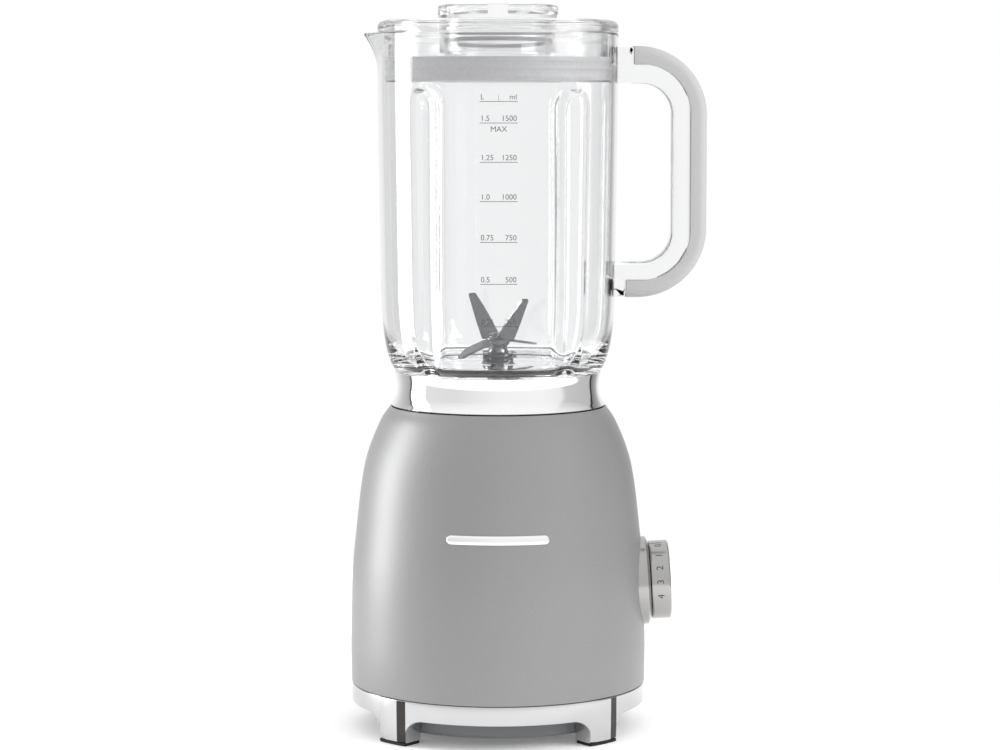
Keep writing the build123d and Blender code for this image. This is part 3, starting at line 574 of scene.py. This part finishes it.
def handleOutline():
    h = handle
    corners = [(62.6, h["fingerLow"]), (62.5, h["rootLow"]), (h["rootLowX"], h["rootLow"], 0.8),
               (h["rootLowX"], h["low"], 0.4), (h["reach"], h["low"], h["round"]), (h["reach"], h["high"], h["round"]),
               (h["rootHighX"], h["high"], 0.4), (h["rootHighX"], h["rootHigh"], 0.8), (64.2, h["rootHigh"]),
               (64.2, h["fingerHigh"]), (h["finger"], h["fingerHigh"], h["fingerRound"]),
               (h["finger"], h["fingerLow"], h["fingerRound"]), (62.6, h["fingerLow"])]
    line = filleted(corners, 16)[:-1]
    dense = []
    for a, b in zip(line, line[1:] + line[:1]):
        cuts = max(1, int((Vector(b) - Vector(a)).length / 4))
        dense += [tuple(Vector(a).lerp(Vector(b), k / cuts)) for k in range(cuts)]
    return dense


def makeJug():
    j = jug
    angle = np.arange(j["angles"]) * 360 / j["angles"]
    rise = [198.0, 198.8, 200, 202, 204, 206, 207.5, 209, 210, 211, 212, 213, 214.5, 216, 218, 221, 225, 230]
    rise += list(np.linspace(236, 336, 18)) + [340, 342, 344, 346, 347.5, 349, 350.5, 352, 353.5, 355, 357]
    rise += list(np.linspace(360, 382.2, 16))
    outerZ = np.array(rise)
    innerZ = np.array([200.4, 200.9, 201.6, 202.6, 204, *rise[5:]])
    columns = []
    outer = jugSkin(angle[:, None], outerZ[None, :], False)
    inner = jugSkin(angle[:, None], innerZ[None, :], True)
    for i in range(j["angles"]):
        out = list(zip(outer[i], outerZ))
        back = list(zip(inner[i], innerZ))[::-1]
        o, n = outer[i][-1], inner[i][-1]
        rim = [(o - 0.12, 382.75), (o - 0.5, 383.1), (o - 1.1, 383.2), (n + 1.1, 383.2), (n + 0.5, 383.1),
               (n + 0.12, 382.75)]
        columns.append([(j["neck"], 188.8), (j["neck"], 197.95)] + out + rim + back + [(j["neckInner"], 188.8)])
    verts = []
    for i, column in enumerate(columns):
        a = math.radians(angle[i])
        verts += [(r * math.cos(a), r * math.sin(a), z) for r, z in column]
    shell = makeMesh("clearJug", verts, loopFaces(j["angles"], len(columns[0])), finishes["clear_plastic"], 40)
    verts, faces = slab(handleOutline(), handle["half"], handle["edge"])
    core = makeMesh("handleCore", verts, faces, finishes["clear_plastic"], 40)
    union = shell.modifiers.new("joinHandle", "BOOLEAN")
    union.operation = "UNION"
    union.solver = "MANIFOLD"
    union.object = core
    bpy.context.view_layer.update()
    joinedMesh = bpy.data.meshes.new_from_object(shell.evaluated_get(bpy.context.evaluated_depsgraph_get()))
    shell.modifiers.clear()
    shell.data = joinedMesh
    bpy.data.objects.remove(core)
    print("jug faces:", len(joinedMesh.polygons))
    finishMesh(shell, finishes["clear_plastic"], 32)
    put(shell, "jug", "clear_plastic", "jug_body")


makeJug()
print("jug made")

# Soft grip: a section swept between the core's outer line and the grip's own
grip = {"reach": 114.3, "low": 238.8, "high": 376.2, "round": 38.0, "half": 11.4, "edge": 4.6}


def makeGrip():
    g, h = grip, handle
    steps = 22
    inner = filleted([(h["rootLowX"], h["low"]), (h["reach"], h["low"], h["round"]),
                      (h["reach"], h["high"], h["round"]), (h["rootHighX"], h["high"])], steps)
    outer = filleted([(h["rootLowX"], g["low"]), (g["reach"], g["low"], g["round"]),
                      (g["reach"], g["high"], g["round"]), (h["rootHighX"], g["high"])], steps)

    def section(thick):
        shape = filleted([(0, 0), (0, -g["half"], 0.5), (thick, -g["half"], g["edge"]),
                          (thick, g["half"], g["edge"]), (0, g["half"], 0.5), (0, 0)], 8)
        return shape[:-1]

    def dense(line):
        out = []
        for i, (a, b) in enumerate(zip(line, line[1:])):
            cuts = 8 if i in (0, steps + 1, 2 * steps + 2) else 1
            out += [Vector(a).lerp(Vector(b), k / cuts) for k in range(cuts)]
        return out + [Vector(line[-1])]

    inner, outer = dense(inner), dense(outer)
    verts, rows = [], 0
    count = len(inner)
    for i, (a, b) in enumerate(zip(inner, outer)):
        outward = (b - a).normalized()
        fromEnd = min(i, count - 1 - i)
        shape = section((b - a).length)
        rows = len(shape)
        verts += [(a.x + outward.x * n, y, a.y + outward.y * n) for n, y in shape]
    faces = loopFaces(count, rows, False, True)
    faces += [tuple(range(rows)), tuple((count - 1) * rows + k for k in range(rows))]
    put(makeMesh("handleGrip", verts, faces, finishes["grip_grey"], 50), "jug", "grip_grey", "handle_grip")


makeGrip()
print("grip made")

# Lid, seal and filler cap
lidLook = {"flange": 66.0, "plug": 60.2, "plugInner": 57.6, "throat": 29.6, "throatOuter": 32.0}


def makeLid():
    top, rim, foot = high("lid").z, 383.6, low("lid").z
    p = lidLook
    section = filleted([
        (p["throat"], 374.0), (p["throatOuter"], 374.0, 0.4), (p["throatOuter"], 387.4, 0.8),
        (p["plugInner"], 387.4, 1.2), (p["plugInner"], foot, 0.4), (61.5, foot, 0.3), (61.5, foot + 0.9, 0.2),
        (p["plug"], foot + 0.9, 0.1), (p["plug"], rim, 0.3), (p["flange"], rim, 0.4), (p["flange"], 387.2, 1.6),
        (64.6, 389.2, 2.2), (61.4, top, 1.4), (p["throat"], top, 0.6), (p["throat"], 374.0)], 5)[:-1]
    verts, faces = lathe(section, 256)
    obj = makeMesh("clearLid", verts, faces, lidPlastic, 32)
    for side in (1, -1):
        verts, faces = slab([(side * x, z) for x, z in ((56.0, 388.2), (61.6, 388.2), (61.6, 392.4), (56.0, 392.4))],
                            10.0, 0.6)
        cutter = makeMesh("lidNotch", verts, faces, lidPlastic)
        cut = obj.modifiers.new("notch", "BOOLEAN")
        cut.operation = "DIFFERENCE"
        cut.solver = "MANIFOLD"
        cut.object = cutter
        bpy.context.view_layer.update()
        carved = bpy.data.meshes.new_from_object(obj.evaluated_get(bpy.context.evaluated_depsgraph_get()))
        obj.modifiers.clear()
        obj.data = carved
        bpy.data.objects.remove(cutter)
    finishMesh(obj, lidPlastic, 32)
    put(obj, "lid", "clear_plastic", "lid")


def makeSeal():
    low1, high1, r = low("lid_seal").z, high("lid_seal").z, lidLook["plug"]
    section = filleted([(r, low1), (61.9, low1, 0.3), (62.15, low1 + 2, 0.3), (61.6, low1 + 3.6, 0.5),
                        (61.6, low1 + 5, 0.3), (62.1, (low1 + high1) / 2, 0.4), (61.6, high1 - 5, 0.3),
                        (61.6, high1 - 3.6, 0.5), (62.15, high1 - 2, 0.3), (61.9, high1, 0.3), (r, high1),
                        (r, low1)], 4)[:-1]
    verts, faces = lathe(section, 256)
    put(makeMesh("lidSeal", verts, faces, finishes["seal_grey"], 50), "lid", "seal_grey", "lid_seal")


makeLid()
makeSeal()
for node in ("filler_cap",):
    bevel = nodes[node].modifiers.new("edges", "BEVEL")
    bevel.width = 0.0003
    bevel.segments = 2
    bevel.angle_limit = math.radians(40)
print("lid made")

# Measuring scale printed on the front of the jug
printLook = {"size": 4.1, "lift": 0.03, "thick": 0.05, "left": -9.6, "right": 10.4, "line": 0.32,
             "ink": (0.10, 0.10, 0.11)}
marks = [(346.1, "L", "ml", ""), (334.8, "1.5", "1500", "MAX"), (314.1, "1.25", "1250", ""),
         (293.3, "1.0", "1000", ""), (271.7, "0.75", "750", ""), (249.4, "0.5", "500", ""),
         (226.8, "0.25", "250", "")]


def flatText(words, size, align):
    curve = bpy.data.curves.new("words", "FONT")
    curve.body = words
    curve.size = size
    curve.align_x = align
    curve.resolution_u = 6
    obj = bpy.data.objects.new("words", curve)
    scene.collection.objects.link(obj)
    bpy.context.view_layer.update()
    mesh = bpy.data.meshes.new_from_object(obj.evaluated_get(bpy.context.evaluated_depsgraph_get()))
    verts = [v.co.copy() for v in mesh.vertices]
    faces = [tuple(p.vertices) for p in mesh.polygons]
    bpy.data.objects.remove(obj)
    bpy.data.curves.remove(curve)
    bpy.data.meshes.remove(mesh)
    return verts, faces


def thicken(verts, faces, wrap, lift, thick):
    # closed thin slab of a flat shape, laid on a surface by wrap(u, v, height)
    edges = {}
    for f in faces:
        for a, b in zip(f, f[1:] + f[:1]):
            edges[(a, b)] = edges.get((b, a), 0) + 1
    border = [(a, b) for (a, b) in edges if (b, a) not in edges]
    n = len(verts)
    solid = [wrap(v.x, v.y, lift + thick) for v in verts] + [wrap(v.x, v.y, lift) for v in verts]
    out = list(faces) + [tuple(n + i for i in reversed(f)) for f in faces]
    out += [(a, n + a, n + b, b) for a, b in border]
    return solid, out


def stripe(u0, u1, v0, v1, pieces=8):
    verts, faces = [], []
    for i in range(pieces + 1):
        u = u0 + (u1 - u0) * i / pieces
        verts += [Vector((u, v0, 0)), Vector((u, v1, 0))]
    faces = [(2 * i, 2 * i + 2, 2 * i + 3, 2 * i + 1) for i in range(pieces)]
    return verts, faces


def merge(shapes):
    verts, faces = [], []
    for v, f, shift in shapes:
        start = len(verts)
        verts += [p + Vector((*shift, 0)) for p in v]
        faces += [tuple(start + i for i in face) for face in f]
    return verts, faces


def makeScale():
    p = printLook
    shapes = []
    for z, litres, millilitres, below in marks:
        shapes.append((*stripe(p["left"], p["right"], -p["line"] / 2, p["line"] / 2), (0, z)))
        shapes.append((*flatText(litres, p["size"], "LEFT"), (p["left"] + 0.4, z + 1.1)))
        shapes.append((*flatText(millilitres, p["size"], "RIGHT"), (p["right"] - 0.4, z + 1.1)))
        if below:
            shapes.append((*flatText(below, p["size"], "CENTER"), (0.4, z - 4.6)))
        if litres == "L":
            shapes.append((*stripe(-0.1, 0.1, 0.4, 3.4, 1), (0.4, z)))

    def wrap(u, v, height):
        radius = float(jugSkin(np.array([270.0]), np.array([v]), False)[0]) + height
        a = math.radians(270) + u / 65.0
        return (radius * math.cos(a), radius * math.sin(a), v)

    verts, faces = thicken(*merge(shapes), wrap, p["lift"], p["thick"])
    ink, _, _ = plainFinish("scaleInk", {"Base Color": p["ink"], "Roughness": 0.5})
    obj = makeMesh("measuringScale", verts, faces, ink, 40)
    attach(obj, "jug")


def makeDigits():
    k = knobLook
    shapes = []
    for digit, angle in (("0", 68.3), ("1", 46.3), ("2", 25.7), ("3", 5.3), ("4", -16.6)):
        shapes.append((*flatText(digit, k["digitSize"], "CENTER"), (math.radians(angle) * k["radius"], -1.8)))
    shapes.append((*stripe(-0.3, 0.3, -2.2, 4.4, 1), (math.radians(76.5) * k["radius"], 0)))

    def wrap(u, v, height):
        # along the rim upwards, with the top of each digit towards the housing
        a = u / k["radius"]
        r = k["radius"] + height
        return (-r * math.sin(a), -r * math.cos(a), k["digitMiddle"] - v)

    verts, faces = thicken(*merge(shapes), wrap, -0.02, 0.06)
    ink, _, _ = plainFinish("digitInk", {"Base Color": (0.04, 0.04, 0.042), "Roughness": 0.45})
    obj = makeMesh("knobDigits", verts, faces, ink, 40, knobPlace())
    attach(obj, "knob")


makeScale()
makeDigits()
print("scale and digits made")

# Floor, studio and camera
studio = {"cameraAt": (0.0011, -1.670, 0.3511), "tilt": 5.336, "lens": 109.08, "floorGlow": 0.14, "floor": 600}
# brightness by direction round the object: angle from the camera's side, positive to the right
horizon = [(-180, 0.96), (-158, 0.9), (-140, 0.62), (-121, 0.42), (-119.5, 0.02), (-117.5, 0.02), (-116, 1.5),
           (-97, 1.5), (-92, 0.8), (-50, 0.78), (0, 0.95), (50, 0.98), (76, 0.9), (84, 0.6), (129, 0.52),
           (131, 0.02), (133.5, 0.02), (135, 0.22), (147, 0.4), (160, 0.9), (180, 0.96)]


def makeWorld():
    world = bpy.data.worlds.new("softStudio")
    scene.world = world
    world.use_nodes = True
    tree = world.node_tree
    tree.nodes.clear()
    coord = addNode(tree, "ShaderNodeTexCoord")
    split = addNode(tree, "ShaderNodeSeparateXYZ")
    tree.links.new(coord.outputs["Generated"], split.inputs[0])
    back = addNode(tree, "ShaderNodeMath", operation="MULTIPLY")
    back.inputs[1].default_value = -1
    tree.links.new(split.outputs["Y"], back.inputs[0])
    turn = addNode(tree, "ShaderNodeMath", operation="ARCTAN2")
    tree.links.new(split.outputs["X"], turn.inputs[0])
    tree.links.new(back.outputs[0], turn.inputs[1])
    fit = spread(tree, turn.outputs[0], 0, 1, -math.pi, math.pi)
    ramp = addNode(tree, "ShaderNodeValToRGB")
    stops = ramp.color_ramp.elements
    for i, (angle, level) in enumerate(horizon):
        place = (angle + 180) / 360
        stop = stops[i] if i < 2 else stops.new(place)
        stop.position = place
        stop.color = (level / 2, level / 2, level / 2, 1)
    tree.links.new(fit, ramp.inputs["Fac"])
    double = addNode(tree, "ShaderNodeVectorMath", operation="SCALE")
    double.inputs["Scale"].default_value = 2
    tree.links.new(ramp.outputs["Color"], double.inputs[0])
    # soft top light overhead
    high1 = spread(tree, split.outputs["Z"], 0, 1, 0.35, 0.8)
    mix = addNode(tree, "ShaderNodeMix", data_type="RGBA")
    mix.inputs[7].default_value = (1.02, 1.02, 1.02, 1)
    tree.links.new(high1, mix.inputs[0])
    tree.links.new(double.outputs[0], mix.inputs[6])
    studioLight = addNode(tree, "ShaderNodeBackground")
    tree.links.new(mix.outputs[2], studioLight.inputs["Color"])
    white = addNode(tree, "ShaderNodeBackground", Color=(1, 1, 1, 1), Strength=1.0)
    path = addNode(tree, "ShaderNodeLightPath")
    either = addNode(tree, "ShaderNodeMixShader")
    tree.links.new(path.outputs["Is Camera Ray"], either.inputs["Fac"])
    tree.links.new(studioLight.outputs[0], either.inputs[1])
    tree.links.new(white.outputs[0], either.inputs[2])
    out = addNode(tree, "ShaderNodeOutputWorld")
    tree.links.new(either.outputs[0], out.inputs["Surface"])


def makeFloor():
    radius = studio["floor"]
    verts = [(radius * math.cos(a), radius * math.sin(a), 0) for a in np.linspace(0, 2 * math.pi, 97)[:-1]]
    mat, tree, shader = plainFinish("paleFloor", {"Base Color": (0.92, 0.92, 0.92), "Roughness": 0.7,
                                                 "Emission Color": (1, 1, 1, 1),
                                                 "Emission Strength": studio["floorGlow"],
                                                 "Specular IOR Level": 0.2})
    bumps(tree, shader, grain(tree, 300), 0.00005, 0.3)
    floor = makeMesh("studioFloor", verts, [tuple(range(len(verts)))], mat)


def addLight(name, at, size, power, aim=(0, 0, 0.2)):
    light = bpy.data.lights.new(name, "AREA")
    light.shape = "RECTANGLE"
    light.size, light.size_y = size
    light.energy = power
    obj = bpy.data.objects.new(name, light)
    scene.collection.objects.link(obj)
    obj.location = at
    obj.rotation_mode = "QUATERNION"
    obj.rotation_quaternion = (Vector(at) - Vector(aim)).to_track_quat("Z", "Y")
    return obj


def makeCamera():
    data = bpy.data.cameras.new("studioCamera")
    data.lens = studio["lens"]
    data.sensor_width = 36
    data.clip_end = 100
    obj = bpy.data.objects.new("studioCamera", data)
    scene.collection.objects.link(obj)
    obj.location = studio["cameraAt"]
    obj.rotation_euler = (math.radians(90 - studio["tilt"]), 0, 0)
    scene.camera = obj


makeWorld()
makeFloor()
addLight("leftBox", (-1.2, 0.25, 0.35), (0.5, 1.1), 10)
addLight("rightFill", (1.1, -0.5, 0.75), (0.7, 0.7), 11).visible_glossy = False
makeCamera()
scene.view_settings.view_transform = "Standard"
scene.cycles.max_bounces = 32
scene.cycles.transmission_bounces = 28
scene.cycles.glossy_bounces = 12
scene.cycles.use_denoising = True
scene.cycles.sample_clamp_indirect = 6
print("studio ready")
